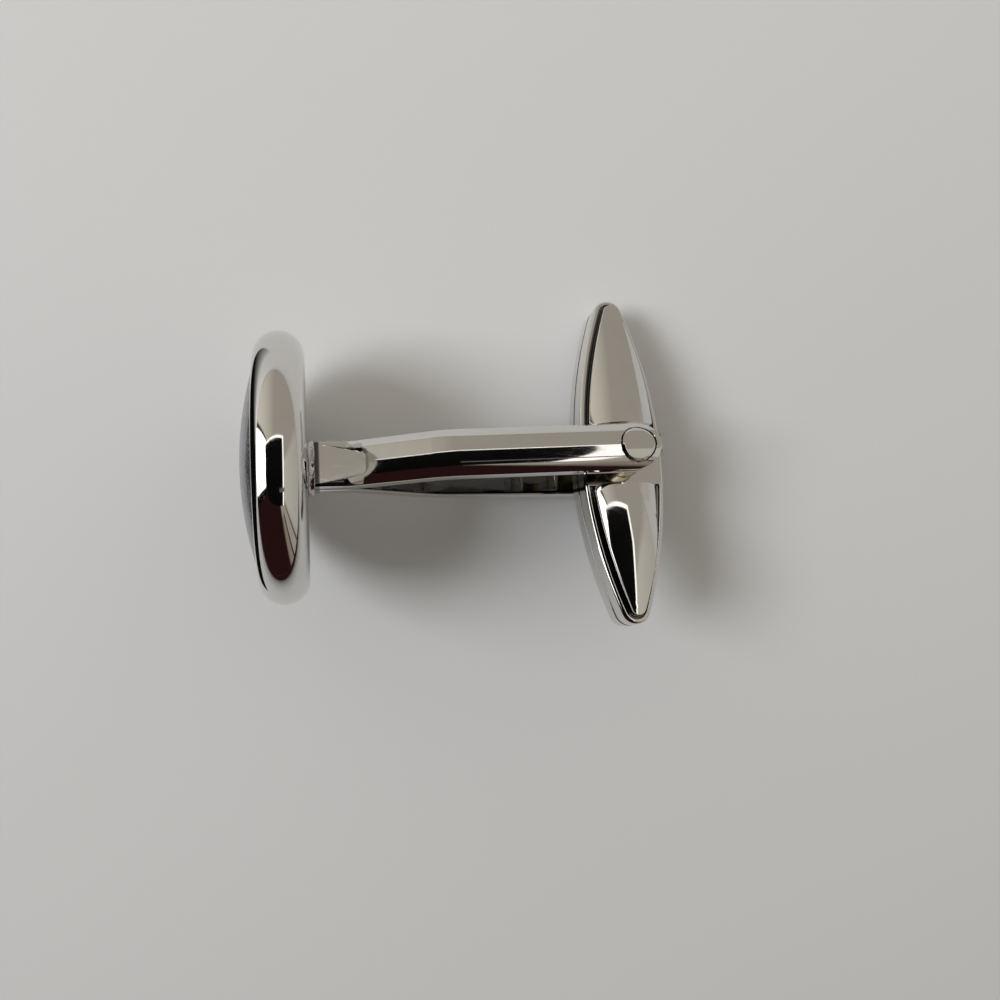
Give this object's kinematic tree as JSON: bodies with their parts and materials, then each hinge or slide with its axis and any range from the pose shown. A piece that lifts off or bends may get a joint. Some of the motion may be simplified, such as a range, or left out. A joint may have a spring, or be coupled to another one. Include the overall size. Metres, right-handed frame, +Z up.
{
  "type": "cufflink",
  "caption": "Swivel-back cufflink: round polished head with a domed insert, forked post and a boat-shaped toggle that turns between the fork's arms",
  "frame": {"origin": "centre of the flat back of the head, which rests on the cuff", "axes": "as the cufflink lies on a table on the head's rim, the end of the lower arm and one tip of the toggle: +Z straight up from the table, +X from the head towards the toggle, +Y towards the toggle's lower tip. The post leaves the head along the axis of the mount cuff_face, leaned 9.3 degrees down from +X, and the piece is rolled 19.4 degrees about the post"},
  "size_m": [0.0257, 0.0202, 0.0158],
  "materials": {
    "plated_head": "mirror polished plating",
    "insert_glaze": "glossy, faintly mottled",
    "pad": "matt",
    "solder_collar": "plated solder, slightly pitted",
    "plated_arms": "mirror polished plating",
    "rivet": "polished plating",
    "hub": "turned",
    "plated_toggle": "mirror polished plating"
  },
  "bodies": {
    "post": {"head_cup": "plated_head", "front_insert": "insert_glaze", "insert_pad": "pad", "post_foot": "solder_collar", "upper_arm": "plated_arms", "lower_arm": "plated_arms", "pivot_rivet": "rivet"},
    "toggle": {"toggle_hub": "hub", "upper_shell": "plated_toggle", "lower_shell": "plated_toggle"}
  },
  "joints": [
    {"name": "toggle_pivot", "type": "hinge", "parent": "post", "child": "toggle", "pos_m": [0.0188, 0, -0.00308], "axis": [0.1524, 0.3322, 0.9308], "range_deg": [-90, 90]}
  ]
}
